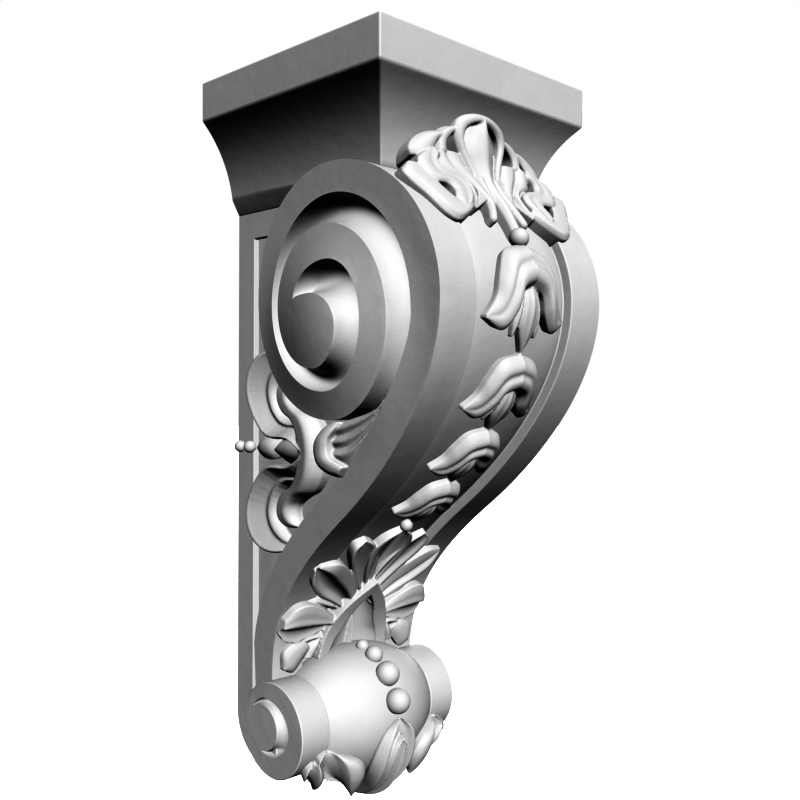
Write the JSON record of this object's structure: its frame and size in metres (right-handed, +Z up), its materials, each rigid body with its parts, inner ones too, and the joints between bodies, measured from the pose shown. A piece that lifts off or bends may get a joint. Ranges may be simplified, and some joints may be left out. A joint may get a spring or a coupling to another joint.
{
  "type": "carved corbel",
  "caption": "Scroll corbel with a moulded square abacus, spiral volutes, a channelled front with a drop of husks, acanthus, a palmette and a barrel foot between two rings.",
  "frame": {"origin": "middle of the flat back, on the wall plane, half way between the abacus's top and its level 350 mm lower", "axes": "+Y is the outward normal of the back, into the wall; the front faces -Y; +Z is up, towards the abacus; +X is to the right as seen from the front"},
  "size_m": [0.14, 0.1506, 0.3555],
  "materials": {
    "cast_plaster": "matte"
  },
  "bodies": {
    "root": {"corbel": "cast_plaster"}
  },
  "joints": []
}
